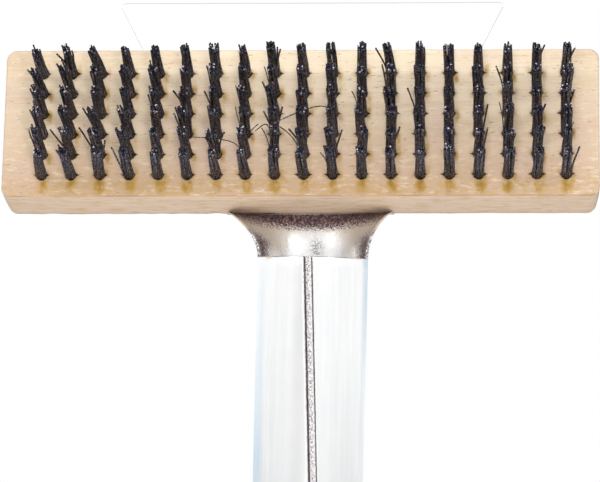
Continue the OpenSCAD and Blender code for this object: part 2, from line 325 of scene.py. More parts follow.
def plated_material(name, low, high, rough, drawn, marked=1.0):
    """Bright plated metal with faint marks drawn out along one axis, and with painted shade and a
    painted brown reflection of wood where its mesh holds them.

    low and high are its two tones, rough its least roughness, drawn the marks' noise along each
    axis and marked their depth."""
    material, tree, surface = new_material(name)
    marks = noise_of(tree, drawn, 3, 0.6)
    cloud = noise_of(tree, (90, 90, 90), 3, 0.55)
    colour = mixed(tree, window(tree, cloud, 0.35, 0.7), low, high)
    # A painted brown reflection of the wood inside the trough.
    colour = mixed(tree, attribute(tree, "warm"), colour, (0.50, 0.42, 0.31))
    roughness = maths(
        tree, "ADD", window(tree, marks, 0.3, 0.7, 0.0, 0.1),
        window(tree, cloud, 0.3, 0.7, rough, rough + 0.06),
    )
    # Where the mesh holds painted shade, the metal turns rougher, less metallic and speckled dark
    # purple-brown: painted shade.
    dulled = window(tree, attribute(tree, "soot"), 0, 0.15)
    roughness = maths(tree, "ADD", roughness, maths(tree, "MULTIPLY", dulled, 0.12))
    speck = window(tree, noise_of(tree, (2400, 2400, 2400), 2, 0.7), 0.3, 0.7, -0.45, 0.45)
    held = attribute(tree, "soot")
    spots = maths(tree, "MULTIPLY", speck, window(tree, held, 0, 0.5))
    soot = window(tree, maths(tree, "ADD", held, spots), 0.05, 0.9)
    darkening = ramp(
        tree, noise_of(tree, (1400, 1400, 1400), 3, 0.7),
        (0.35, (0.012, 0.008, 0.020)), (0.50, (0.070, 0.036, 0.055)), (0.65, (0.30, 0.19, 0.13)),
    )
    feed(
        tree, surface, Base_Color=mixed(tree, soot, colour, darkening),
        Metallic=maths(
            tree, "MULTIPLY", window(tree, soot, 0, 1, 1, 0.2), window(tree, dulled, 0, 1, 1, 0.7)
        ),
        Roughness=mixed(tree, soot, roughness, (0.6, 0.6, 0.6)),
        Normal=bumped(tree, marks, 0.12 * marked, 0.00004),
    )
    return material


WOOD = wood_material()
WIRE = wire_material()
WIRE_END = cut_wire_material()
BRACKET = plated_material(
    "plated_sheet", (0.92, 0.93, 0.935), (0.955, 0.955, 0.955), 0.12, (900, 900, 30), 0.2
)
FASTENER = plated_material("zinc", (0.60, 0.61, 0.62), (0.78, 0.78, 0.76), 0.22, (600, 600, 600))
ANCHOR = plated_material("anchor_wire", (0.40, 0.40, 0.41), (0.55, 0.54, 0.52), 0.3, (80, 900, 900))
BRASS = plated_material("brass", (0.62, 0.42, 0.16), (0.78, 0.56, 0.25), 0.22, (900, 900, 900))


# ---------------------------------------------------------------- mesh helpers
class Skin:
    """Vertices in millimetres, faces, and a value of each named attribute for each vertex."""

    def __init__(self, *attributes):
        self.points, self.faces, self.kinds = [], [], []
        self.values = {name: [] for name in attributes}

    def point(self, place, **values):
        self.points.append(Vector(place) * MM)
        for name, list_of in self.values.items():
            list_of.append(values.get(name, 0.0))
        return len(self.points) - 1

    def face(self, corners, kind=0):
        self.faces.append(corners)
        self.kinds.append(kind)

    def bridge(self, a, b, closed=True, kind=0):
        """Quads between two rows of the same number of vertices."""
        n = len(a)
        for i in range(n if closed else n - 1):
            k = (i + 1) % n
            self.face((a[i], a[k], b[k], b[i]), kind)

    def mesh(self, name):
        mesh = bpy.data.meshes.new(name)
        mesh.from_pydata(self.points, [], self.faces)
        mesh.polygons.foreach_set("use_smooth", [True] * len(mesh.polygons))
        mesh.polygons.foreach_set("material_index", self.kinds)
        for title, list_of in self.values.items():
            made = mesh.attributes.new(title, "FLOAT", "POINT")
            made.data.foreach_set("value", list_of)
        mesh.validate()
        outward(mesh)
        return mesh

    def piece(self, name, materials, body, replaced, matrix=Matrix.Identity(4)):
        mesh = self.mesh(name)
        for material in materials:
            mesh.materials.append(material)
        obj = bpy.data.objects.new(name, mesh)
        bpy.context.scene.collection.objects.link(obj)
        obj.matrix_world = matrix
        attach(obj, body)
        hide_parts(*replaced)
        return obj


def outward(mesh):
    """Turns every face's front to the outside."""
    work = bmesh.new()
    work.from_mesh(mesh)
    bmesh.ops.recalc_face_normals(work, faces=work.faces)
    work.to_mesh(mesh)
    work.free()
    mesh.update()


def cornered(x, z, x0, x1, z0, z1, r):
    """Maps a point of a rectangle so that the rectangle's corners become round."""
    cx = x0 + r if x < x0 + r else x1 - r if x > x1 - r else None
    cz = z0 + r if z < z0 + r else z1 - r if z > z1 - r else None
    if cx is None or cz is None:
        return x, z
    u, v = (x - cx) / r, (z - cz) / r
    return cx + r * u * math.sqrt(1 - v * v / 2), cz + r * v * math.sqrt(1 - u * u / 2)


def spread(a, b, n):
    """n + 1 values from a to b."""
    return [a + (b - a) * i / n for i in range(n + 1)]


# ---------------------------------------------------------------- the wooden block
CELL_NX, CELL_NZ, MARGIN_N = 8, 6, 5  # grid steps across a hole's cell, and across a margin
TEAR_LEAST, TEAR_MOST = (0.72, 0.5), 1.15  # least share of a tear's length, right and left
LOW_STAIN, STAIN, MOST_STAIN = 1.7, 0.4, 2.0
CELL_X0 = column_x(-(COLUMNS - 1) / 2) - COLUMN_PITCH / 2
CELL_Z0 = FIRST_ROW - ROW_PITCH / 2
CELL_X1 = CELL_X0 + COLUMNS * COLUMN_PITCH
CELL_Z1 = CELL_Z0 + ROWS * ROW_PITCH
BLOCK_X0, BLOCK_X1 = -BLOCK_SHIFT - BLOCK_L / 2, -BLOCK_SHIFT + BLOCK_L / 2


def end_inset(depth):
    """How far the block's ends have curved in at a depth behind the face."""
    return BLOCK_END_R - math.sqrt(BLOCK_END_R ** 2 - (depth + BLOCK_END_LEAD) ** 2)


def stain_at(x, z, tufts):
    """Rust and oil on the wood: below the lowest row, and in patches beside the others."""
    total = 0.0
    c = round((x - CELL_X0) / COLUMN_PITCH - 0.5)
    r = round((z - CELL_Z0) / ROW_PITCH - 0.5)
    for i in range(max(0, c - 1), min(COLUMNS, c + 2)):
        for j in range(max(0, r - 1), min(ROWS, r + 2)):
            for dx, dz, sx, sz, strength in tufts[i][j]:
                u = (x - CELL_X0 - (i + 0.5) * COLUMN_PITCH - dx) / sx
                v = (z - CELL_Z0 - (j + 0.5) * ROW_PITCH - dz) / sz
                total += strength * math.exp(-u * u - v * v)
    return min(MOST_STAIN, total)


def stain_plan(rng):
    """Each hole's stains: place from the hole, half sizes and strength. The first two hang below
    it, and the others stand to its right and left."""
    plan = []
    for c in range(COLUMNS):
        plan.append([])
        for r in range(ROWS):
            below = LOW_STAIN if r == 0 else STAIN
            plan[-1].append([
                (rng.uniform(-0.2, 0.8), -3.7, 1.5, 2.4, below * rng.uniform(0.5, 1)),
                (rng.uniform(-0.2, 0.4), -2.5, 0.6, 0.9, below * rng.uniform(0.4, 1)),
                (rng.uniform(1.9, 2.5), rng.uniform(-1.6, 1), 0.95, 2.1, rng.uniform(0.2, 1.1)),
                (rng.uniform(-2.6, -1.9), rng.uniform(-1, 1), 0.9, 1.2, rng.uniform(0, 0.6)),
            ])
    return plan


def build_block():
    """The wooden block: a grid over each side, with a ring of vertices round every hole."""
    rng = random.Random(BLOCK_SEED)
    skin = Skin("stain", "torn", "side", "edge", "end")
    plan = stain_plan(rng)

    def line(i, cells, pitch_n, low, high, start, stop):
        """The place of grid line i: the margins stretch, the cells between them don't."""
        if i < MARGIN_N:
            return low + (start - low) * i / MARGIN_N
        i -= MARGIN_N
        if i <= cells * pitch_n:
            return start + (stop - start) * i / (cells * pitch_n)
        return stop + (high - stop) * (i - cells * pitch_n) / MARGIN_N

    nx = 2 * MARGIN_N + COLUMNS * CELL_NX
    nz = 2 * MARGIN_N + ROWS * CELL_NZ

    def place(i, j, inset, depth):
        ends = inset + end_inset(depth)
        z0, z1 = inset, BLOCK_W - inset
        z = line(j, ROWS, CELL_NZ, z0, z1, CELL_Z0, CELL_Z1)
        x0, x1 = BLOCK_X0 + ends + BLOCK_END_SLOPE * z, BLOCK_X1 - ends
        x = line(i, COLUMNS, CELL_NX, x0, x1, CELL_X0, CELL_X1)
        x, z = cornered(x, z, x0, x1, z0, z1, BLOCK_CORNER_R - inset)
        return x, FACE_Y + depth, z

    def rough_edge(p, amount):
        """A little wear: the edge wanders in and out, and is knocked in a few places."""
        v = Vector(p)
        wander = noise.noise(Vector((v.x * 0.35, v.y * 0.6, v.z * 0.35 + 7)))
        knock = max(0.0, noise.noise(Vector((v.x * 0.12, 3.1, v.z * 0.4))) - 0.35)
        middle = Vector((-BLOCK_SHIFT, FACE_Y + BLOCK_T / 2, BLOCK_W / 2))
        inward = Vector((0, middle.y - v.y, middle.z - v.z)).normalized()
        return v + inward * amount * (0.12 * wander + 0.9 * knock)

    border = (
        [(i, 0) for i in range(nx)] + [(nx, j) for j in range(nz)]
        + [(i, nz) for i in range(nx, 0, -1)] + [(0, j) for j in range(nz, 0, -1)]
    )

    # the bristle face, with a ringed hole in each cell
    front = {}
    for i in range(nx + 1):
        for j in range(nz + 1):
            in_cells = MARGIN_N < i < nx - MARGIN_N and MARGIN_N < j < nz - MARGIN_N
            if in_cells and (i - MARGIN_N) % CELL_NX and (j - MARGIN_N) % CELL_NZ:
                continue
            p = place(i, j, BLOCK_EDGE_R, 0)
            front[i, j] = skin.point(p, stain=stain_at(p[0], p[2], plan))
    for i in range(nx):
        for j in range(nz):
            if not (MARGIN_N <= i < nx - MARGIN_N and MARGIN_N <= j < nz - MARGIN_N):
                skin.face((front[i, j], front[i + 1, j], front[i + 1, j + 1], front[i, j + 1]))
    for c in range(COLUMNS):
        for r in range(ROWS):
            i0, j0 = MARGIN_N + c * CELL_NX, MARGIN_N + r * CELL_NZ
            loop = (
                [(i0 + k, j0) for k in range(CELL_NX)]
                + [(i0 + CELL_NX, j0 + k) for k in range(CELL_NZ)]
                + [(i0 + CELL_NX - k, j0 + CELL_NZ) for k in range(CELL_NX)]
                + [(i0, j0 + CELL_NZ - k) for k in range(CELL_NZ)]
            )
            cx = CELL_X0 + (c + 0.5) * COLUMN_PITCH
            cz = CELL_Z0 + (r + 0.5) * ROW_PITCH
            tears = [TEAR_L * rng.uniform(least, TEAR_MOST) for least in TEAR_LEAST]
            outer = [front[key] for key in loop]
            places = [skin.points[k] / MM for k in outer]
            angles = [math.atan2(p.z - cz, p.x - cx) for p in places]
            rims = []
            for a in angles:
                along, across = abs(math.cos(a)), abs(math.sin(a))
                tear = 1 / (along / tears[math.cos(a) < 0] + across / TEAR_H)
                rims.append(max(HOLE_R, tear) + rng.uniform(-0.05, 0.1))

            def ring(radii, depth, torn):
                """Vertices round the hole, one for each vertex of the cell's border."""
                made = []
                for a, radius in zip(angles, radii):
                    x, z = cx + radius * math.cos(a), cz + radius * math.sin(a)
                    made.append(skin.point(
                        (x, FACE_Y + depth, z), stain=stain_at(x, z, plan), torn=torn
                    ))
                return made

            far = [math.hypot(p.x - cx, p.z - cz) for p in places]
            rows = [outer]
            for share in (0.55, 0.22):
                rows.append(ring([m + (f - m) * share for f, m in zip(far, rims)], 0, 0.0))
            # How dark the wood is painted: torn fibres near the rim, then painted shade growing
            # deeper down the tear and the hole.
            rows.append(ring([m + 0.15 for m in rims], 0.0, 0.2))
            rows.append(ring(rims, 0.1, 0.55))
            rows.append(ring([HOLE_R + (m - HOLE_R) * 0.55 for m in rims], TEAR_DEPTH * 0.4, 0.85))
            rows.append(ring([HOLE_R] * len(angles), TEAR_DEPTH, 1.0))
            rows.append(ring([HOLE_R] * len(angles), HOLE_DEPTH, 1.0))
            for a, b in zip(rows, rows[1:]):
                skin.bridge(a, b)
            skin.face(tuple(rows[-1]))

    # round the front edge, along the sides and round the back edge
    quarter = spread(0, math.pi / 2, 4)
    loops = [[front[key] for key in border]]

    def side_loop(inset, depth, side, edge, wear):
        """One more loop round the block, as the faces' border at this inset and depth."""
        made = []
        for i, j in border:
            p = rough_edge(place(i, j, inset, depth), wear)
            low = j == 0 and 0 < i < nx
            end = side if i in (0, nx) and 0 < j < nz else 0.0
            made.append(skin.point(p, side=side, edge=edge * (1.0 if low else 0.12), end=end))
        loops.append(made)

    for a in quarter[1:]:
        inset, depth = BLOCK_EDGE_R * (1 - math.sin(a)), BLOCK_EDGE_R * (1 - math.cos(a))
        side_loop(inset, depth, math.sin(a) ** 2, 0.8 * math.sin(2 * a), math.sin(a))
    for depth in spread(BLOCK_EDGE_R, BLOCK_T - BLOCK_EDGE_R, 9)[1:]:
        near_back = depth > BLOCK_T - 1
        side_loop(0, depth, 1.0, 0.3 if near_back else 0.0, 1.0 if near_back else 0.2)
    for a in quarter[1:]:
        inset, depth = BLOCK_EDGE_R * (1 - math.cos(a)), BLOCK_EDGE_R * (1 - math.sin(a))
        side_loop(inset, BLOCK_T - depth, 1 - math.sin(a) ** 2, 0.5 * math.cos(a), math.cos(a))
    for a, b in zip(loops, loops[1:]):
        skin.bridge(a, b)

    # the back
    back = dict(zip(border, loops[-1]))
    for i in range(1, nx):
        for j in range(1, nz):
            back[i, j] = skin.point(place(i, j, BLOCK_EDGE_R, BLOCK_T))
    for i in range(nx):
        for j in range(nz):
            skin.face((back[i, j], back[i, j + 1], back[i + 1, j + 1], back[i + 1, j]))
    return skin.piece("wood_block", [WOOD], "head", ["brush_block"], BLOCK)


# ---------------------------------------------------------------- the wire tufts
WIRE_SIDES = 6
WORN_COLUMNS = 6  # the columns from the left end over which the tufts' wear fades
# The folded wires: each layer's distance from the anchor's middle, and the wires' places in it.
LAYERS = (
    (ANCHOR_T / 2 + WIRE_R + 0.03, (-1.38, -0.83, -0.28, 0.28, 0.83, 1.38)),
    (ANCHOR_T / 2 + 3 * WIRE_R + 0.05, (-0.85, -0.28, 0.28, 0.85)),
)
# Where a tuft's tips gather, across its end, and how far they stay apart there.
GATHERED = 0.5
CLUMPS = ((-0.66, 0.5), (0.62, 0.55), (-0.55, -0.55), (0.66, -0.45), (0.0, 0.0))
FOLD_CENTRE, FOLD_LOWEST, FOLD_STEPS = ANCHOR_BOTTOM + 0.2, 1.0, 4
# The shares of a wire's free length at which its path is placed.
PATH_SHARES = (1.0, 0.85, 0.7, 0.55, 0.4, 0.25, 0.1, 0.0)

# Wires that have worked loose: how far each tip has strayed, by column and row. They are
# thinner than the others, by this share, and bend more towards the tip.
LOOSE_SHARE, LOOSE_BEND = 0.6, 2.3
LOOSE = {
    (10, 3): ((-15.7, -11.2),), (7, 1): ((-13.0, -3.4), (6.0, 0.6)), (8, 2): ((-4.2, -7.4),),
    (9, 1): ((-4.8, 1.0),), (8, 1): ((-2.6, 0.2),), (10, 0): ((-1.2, -1.0),),
    (7, 5): ((1.2, 0.4),), (11, 5): ((1.4, 0.3),), (8, 4): ((-0.9, 0.2),), (6, 4): ((-0.9, -0.3),),
    (7, 3): ((-0.8, 0.0),), (7, 2): ((-0.8, 0.3),), (11, 3): ((-1.4, -1.6),),
    (12, 2): ((1.6, 0.9),), (14, 4): ((1.6, 0.6),), (16, 2): ((-1.6, 0.7),), (18, 1): ((2.2, 0.8),),
}


def tube(skin, path, radius, tint, flare=1.06):
    """A wire along a path, with sheared ends."""
    rings, side = [], None
    for k, p in enumerate(path):
        ahead = path[min(k + 1, len(path) - 1)] - path[max(k - 1, 0)]
        ahead.normalize()
        if side is None:
            side = ahead.orthogonal().normalized()
        side = (side - ahead * side.dot(ahead)).normalized()
        other = ahead.cross(side)
        at_end = k in (0, len(path) - 1)
        r = radius * (flare if at_end else 1)
        rings.append([
            skin.point(
                p + (side * math.cos(a) + other * math.sin(a)) * r, tint=tint,
            ) for a in (2 * math.pi * s / WIRE_SIDES for s in range(WIRE_SIDES))
        ])
    for a, b in zip(rings, rings[1:]):
        skin.bridge(a, b)
    skin.face(tuple(rings[0]), 1)
    skin.face(tuple(reversed(rings[-1])), 1)


def build_tuft(skin, rng, cx, cz, wild, bent, droop, strayed):
    """One tuft: wires folded in a U round the anchor, both ends standing out of the wood.

    wild is the share of wires that stick out, bent the share of those that do so up and to
    the left, and droop how far the tips hang. strayed has the loose wires' tips."""
    lean = Vector((rng.gauss(0, 0.4), 0, rng.gauss(0, 0.3) - droop))
    twist = rng.uniform(-0.5, 0.5)
    open_out = rng.choice((0.8, 0.9, 1.0, 1.1, 1.5))
    clumps = [
        Vector((x + rng.gauss(0, 0.25), 0, z + rng.gauss(0, 0.2))) * open_out for x, z in CLUMPS
    ]
    centre = Vector((cx, FACE_Y, cz))
    for k, (layer_z, x) in enumerate((layer_z, x) for layer_z, xs in LAYERS for x in xs):
        loose = k < len(strayed)
        tint = rng.random()
        ends = []
        for up in (1, -1):
            foot = Vector((x, 0, up * layer_z))
            turned = Matrix.Rotation(twist, 3, "Y") @ foot
            clump = min(clumps, key=lambda p: (p - turned).length)
            tip = clump + (turned - clump) * GATHERED + lean
            tip += Vector((rng.gauss(0, 0.13), 0, rng.gauss(0, 0.13)))
            if rng.random() < wild:
                away = rng.gauss(2.3, 0.5) if rng.random() < bent else rng.uniform(0, math.tau)
                reach = rng.uniform(1.0, 3.4)
                tip += Vector((math.cos(away), 0, 0.7 * math.sin(away))) * reach
            out = TRIM_L + rng.uniform(-0.9, 0.1) - 0.5 * clump.x * lean.x
            bend = rng.uniform(1.0, 1.6)
            if up == 1 and loose:
                tip += Vector((strayed[k][0], 0, strayed[k][1]))
                bend = LOOSE_BEND
            wave = Vector((rng.gauss(0, 0.12), 0, rng.gauss(0, 0.12)))
            phase = rng.uniform(0, math.pi)
            ends.append([
                foot + (tip - foot) * u ** bend
                + wave * (math.sin(phase + 5 * u) - math.sin(phase)) * u
                + Vector((0, -out * u, 0))
                for u in PATH_SHARES
            ])
        fold = []
        for a in spread(0, math.pi, FOLD_STEPS):
            drop = min(layer_z, FOLD_LOWEST) * math.sin(a)
            fold.append(Vector((x, -FOLD_CENTRE + drop, layer_z * math.cos(a))))
        path = ends[0] + fold + ends[1][::-1]
        thick = WIRE_R * rng.uniform(0.94, 1.05) * (LOOSE_SHARE if loose else 1)
        tube(skin, [centre + p for p in path], thick, tint)


def build_tufts():
    """The tufts, a piece for each column. The wires at the left end are worn and bent."""
    rng = random.Random(TUFT_SEED)
    for c in range(COLUMNS):
        skin = Skin("tint")
        for r in range(ROWS):
            left = max(0.0, 1 - c / WORN_COLUMNS)
            build_tuft(
                skin, rng, column_x(c - (COLUMNS - 1) / 2), FIRST_ROW + r * ROW_PITCH,
                0.035 + 0.06 * left, left, 1.1 * left * r / (ROWS - 1), LOOSE.get((c, r), ()),
            )
        number = f"{c + 1:02d}"
        skin.piece(
            f"tuft_wires_{number}", [WIRE, WIRE_END], "head",
            [f"tufts_column_{number}"], BLOCK,
        )


# ---------------------------------------------------------------- the sheet-steel bracket
EDGE_R = 0.3
SEAM_ZONE = 0.15  # half the angle, in radians, that the finer rows of the seam take up
ACROSS_N, FRONT_N, SCRAPER_ROWS, NECK_ROWS, BORE_ROWS = 60, 26, 14, 28, 36


def sheet_place(v, half_w, a, w):
    """A point of the trough: v along it, a across it, and w out from the sheet's middle."""
    v = min(max(v, 0), 1)
    lean = TILT * (1 - v)
    curl = math.pi / 2 * math.sin(math.pi / 2 * v) ** CURL_POWER if v > 0 else 0
    if curl:
        r = half_w / curl
        x, forward = (r + w) * math.sin(a * curl), r - (r + w) * math.cos(a * curl)
    else:
        x, forward = a * half_w, -w
    y = MID_R + BEND_R * (1 - math.cos(lean)) - forward * math.cos(lean)
    z = SOCKET_L + BEND_R * math.sin(lean) + forward * math.sin(lean)
    share = (1 + math.cos(math.pi * v)) / 2
    return skewed(share) @ (Vector((x, y, z)) * MM) / MM


def seam_profile():
    """The folded seam across the socket: distance along the wall, height, and how dark the sheet is
    painted there: painted shade in the two grooves, fading out beside them, and a greyer ridge.
    """
    e, h = SEAM_HALF_W, SEAM_H
    return (
        (-e - 0.9, 0.0, 0.0), (-e - 0.45, 0.0, 0.1), (-e - 0.28, -0.08, 0.7),
        (-e - 0.22, -0.3, 1.0), (-e - 0.06, -0.3, 1.0), (-e - 0.02, -0.1, 1.0),
        (-e, h - 0.3, 0.45), (-e + 0.1, h - 0.12, 0.4), (-e + 0.3, h - 0.02, 0.3),
        (0.0, h + 0.02, 0.42), (e - 0.28, h, 0.42), (e - 0.1, h - 0.08, 0.42),
        (e - 0.02, h - 0.25, 0.5), (e, -0.1, 1.0), (e + 0.08, -0.5, 1.0),
        (e + 0.42, -0.5, 1.0), (e + 0.5, -0.12, 0.9), (e + 0.62, -0.02, 0.35), (e + 1.3, 0.0, 0.0),
    )


def build_bracket():
    """The folded sheet: scraper plate, trough and socket, its two faces joined by a rim."""
    skin = Skin("soot", "warm")
    edge_steps = (0.0, 0.4, 0.8, 1.25, 1.8, 3.0, 5.0)  # closer together at the rounded corners
    inner = [-1 + s / SCRAPER_HALF_W for s in edge_steps]
    middle = spread(inner[-1], -inner[-1], ACROSS_N)[1:-1]
    across = inner + middle + [-a for a in reversed(inner)]
    n = len(across)

    def scraper_half(z):
        """Half the scraper's width at a height above the block's lower edge."""
        return BLANK_HALF_W + (SCRAPER_HALF_W - BLANK_HALF_W) * z / SCRAPER_H

    # round the socket's front half, from one side to the other, with the seam in it; the
    # angles grow from the +X side through the front to the -X side
    beside = spread(0, math.pi / 2 - SEAM_ZONE, FRONT_N)[1:-1]
    front = [(math.pi / 2 + t, 0.0, 0.0) for t in beside]
    front += [(math.pi + s / MID_R, h, soot) for s, h, soot in seam_profile()]
    front += [(t, 0.0, 0.0) for t in spread(math.pi + SEAM_ZONE, 1.5 * math.pi, FRONT_N)[1:-1]]

    def held_soot(v, a):
        """Painted shade in the trough: along its top and a little over most of it, with painted
        dark reflections in its two lower corners and down its middle.
        """
        top = 2.0 * max(0.0, 1 - v / 0.44) * (1 - 0.35 * abs(a))
        low = min(1.0, max(0.0, (v - 0.4) / 0.3))
        corner = 0.95 * math.exp(-((abs(a) - 0.85) / 0.22) ** 2) * low
        middle = 0.62 * math.exp(-((a - 0.04) / 0.13) ** 2) * low * (1.4 - v)
        return max(top, corner, middle, 0.16 * min(1.0, (1 - v) / 0.1))

    def reflected_wood(v, a):
        """How much painted reflection of the brown wood the trough's inside takes, at its top and
        on both its flanks.
        """
        flank = 0.45 * math.exp(-((abs(a) - 0.62) / 0.22) ** 2)
        return max(0.75 * max(0.0, 1 - v / 0.62), flank * min(1.0, (1 - v) / 0.25))

    def seam_point(t, h, soot, w, z):
        """A point of the socket's front, with the seam's painted shade on the outside."""
        return skin.point(ring_place(t, h, w, z), soot=soot if w > 0 else 0.0)

    def surface(w):
        """One face of the sheet, w out from its middle. Returns its upper border and its mouth."""
        rows = []
        heights = spread(SCRAPER_H - EDGE_R, SCRAPER_H - SCRAPER_CORNER_R - 0.6, 6)
        heights += spread(heights[-1], 0, SCRAPER_ROWS)[1:]
        for z in heights:
            row = []
            for a in across:
                half = scraper_half(z) - EDGE_R
                x, up = cornered(
                    a * half, z, -half, half, -10, SCRAPER_H - EDGE_R, SCRAPER_CORNER_R
                )
                p = BLOCK @ (Vector((x, w, up)) * MM)
                row.append(skin.point(p / MM))
            rows.append(row)
        for v in spread(0, 1, NECK_ROWS)[1:]:
            rows.append([
                skin.point(
                    sheet_place(v, BLANK_HALF_W, a * (1 - EDGE_R / BLANK_HALF_W * (1 - v)), w),
                    soot=held_soot(v, a) if w < 0 else 0.0,
                    warm=reflected_wood(v, a) if w < 0 else 0.0,
                )
                for a in across
            ])
        for a, b in zip(rows, rows[1:]):
            skin.bridge(a, b, closed=False)
        # the socket: its back half carries on from the trough
        tops = [seam_point(*place, w, SOCKET_L - EDGE_R) for place in front]
        ring = rows[-1] + tops
        rings = [ring]
        for z in spread(SOCKET_L - 3, EDGE_R, BORE_ROWS):
            rings.append(
                [skin.point(ring_place(a * math.pi / 2, 0.0, w, z)) for a in across]
                + [seam_point(*place, w, z) for place in front]
            )
        for a, b in zip(rings, rings[1:]):
            skin.bridge(a, b)
        mouth = rings[-1]
        loop = rows[0] + [row[-1] for row in rows[1:]] + tops
        loop += [row[0] for row in reversed(rows[1:])]
        return loop, mouth

    def ring_place(t, h, w, z):
        """A point of the socket's wall; the seam wanders round it a little from end to end."""
        r = MID_R + w + (h if w > 0 else 0)
        if t > math.pi / 2:
            swing = SEAM_MIDDLE + SEAM_SLANT * (z - SOCKET_L / 2)
            off = abs(t - math.pi) / (math.pi / 2)
            t -= swing * (1 - max(0.0, off - SEAM_ZONE) / (1 - SEAM_ZONE))
        return Vector((r * math.sin(t), r * math.cos(t), z))

    outer_loop, outer_mouth = surface(SHEET_T / 2)
    inner_loop, inner_mouth = surface(-SHEET_T / 2)
    for a, b in ((outer_loop, inner_loop), (outer_mouth, inner_mouth)):
        rim(skin, a, b)
    obj = skin.piece(
        "steel_bracket", [BRACKET], "head", ["handle_bracket"]
    )
    drill(obj, (SOCKET_R - 4, SOCKET_R + SHEET_T + 2), PAD_HOLE_R)


def drill(obj, reach, radius):
    """A round hole along X, on the locking screw's axis."""
    bit = Skin()
    lathe(bit, [(x, radius) for x in reach], 64)
    cutter = bit.mesh("bit")
    tool = bpy.data.objects.new("bit", cutter)
    bpy.context.scene.collection.objects.link(tool)
    cut = obj.modifiers.new("hole", "BOOLEAN")
    cut.operation, cut.solver, cut.object = "DIFFERENCE", "EXACT", tool
    bpy.context.view_layer.update()
    made = bpy.data.meshes.new_from_object(obj.evaluated_get(bpy.context.evaluated_depsgraph_get()))
    obj.modifiers.clear()
    obj.data = made
    bpy.data.objects.remove(tool)


def rim(skin, outer, inner):
    """A rounded edge between the two faces of the sheet, along a closed loop of its border."""
    n = len(outer)
    places = [(skin.points[o] + skin.points[i]) / 2 for o, i in zip(outer, inner)]
    normals = [(skin.points[o] - skin.points[i]).normalized() for o, i in zip(outer, inner)]
    away = []
    for k in range(n):
        tangent = places[(k + 1) % n] - places[k - 1]
        away.append(tangent.cross(normals[k]).normalized())
    # Low down, the rim takes on the inner face's painted shade.
    low = [p.z < (SOCKET_L + 0.45 * NECK_L) * MM for p in places]
    soot = [skin.values["soot"][i] * is_low for i, is_low in zip(inner, low)]
    # the border's outside is the side that its neighbours in the surface aren't on
    sign = 1 if (places[0] + away[0] * MM - BLOCK.translation).length > (
        places[0] - BLOCK.translation).length else -1
    if places[0].z < SOCKET_L * MM / 2:
        sign = 1 if away[0].z < 0 else -1
    rows = [outer]
    quarter = spread(0, math.pi / 2, 3)[1:]
    for loop, into, angles in ((outer, -1, quarter), (inner, 1, reversed(quarter))):
        for a in angles:
            out, back = sign * EDGE_R * MM * math.sin(a), into * EDGE_R * MM * (1 - math.cos(a))
            rows.append([
                skin.point(
                    (skin.points[loop[k]] + away[k] * out + normals[k] * back) / MM,
                    soot=soot[k],
                ) for k in range(n)
            ])
    rows.append(inner)
    for a, b in zip(rows, rows[1:]):
        skin.bridge(a, b)


# ---------------------------------------------------------------- the pole lock
LOCK_SIDES = 40
TIP_X, PIN_X, HUB_X, HUB_L = 17.4, 16.75, 29.0, 5.0
THREAD_PITCH, THREAD_ROOT_R, THREAD_R = 1.27, 2.55, 3.08
LOBE = Vector((8.9, 36.4))  # the middle of an ear: across the screw's axis, and along it
LOBE_R, WING_HALF_T = 4.6, 1.3


def lock_point(skin, x, r, angle):
    """A vertex at a distance along the locking screw's axis, a radius and an angle."""
    return skin.point((x, r * math.cos(angle), LOCK_Z + r * math.sin(angle)))


def lathe(skin, profile, sides=LOCK_SIDES):
    """A solid turned about the locking screw's axis, from distances along it and radii."""
    rings = [
        [lock_point(skin, x, r, math.tau * k / sides) for k in range(sides)] for x, r in profile
    ]
    for a, b in zip(rings, rings[1:]):
        skin.bridge(a, b)
    skin.face(tuple(rings[0]))
    skin.face(tuple(rings[-1]))


def threaded(skin, start, end):
    """A right-hand thread, lower over its first 1.2 mm and its last 1.8 mm."""
    steps = round((end - start) / THREAD_PITCH * 10)
    rings = []
    for x in spread(start, end, steps):
        whole = min(1.0, (x - start) / 1.2, (end - x) / 1.8)
        ring = []
        for k in range(LOCK_SIDES):
            phase = (x / THREAD_PITCH - k / LOCK_SIDES) % 1.0
            rise = max(0.0, min(1.0, 1.35 - abs(2 * phase - 1) * 1.9))
            crest = THREAD_ROOT_R + (THREAD_R - THREAD_ROOT_R) * (0.25 + 0.75 * whole)
            r = THREAD_ROOT_R + (crest - THREAD_ROOT_R) * rise
            ring.append(lock_point(skin, x, r, math.tau * k / LOCK_SIDES))
        rings.append(ring)
    for a, b in zip(rings, rings[1:]):
        skin.bridge(a, b)
    skin.face(tuple(rings[0]))
    skin.face(tuple(rings[-1]))


def curve(points, n):
    """A smooth run through the points."""
    made = []
    for i in range(len(points) - 1):
        p0, p1 = points[max(i - 1, 0)], points[i]
        p2, p3 = points[i + 1], points[min(i + 2, len(points) - 1)]
        for u in spread(0, 1, n)[:-1]:
            made.append(0.5 * (
                2 * p1 + (p2 - p0) * u + (2 * p0 - 5 * p1 + 4 * p2 - p3) * u ** 2
                + (3 * p1 - p0 - 3 * p2 + p3) * u ** 3
            ))
    return made


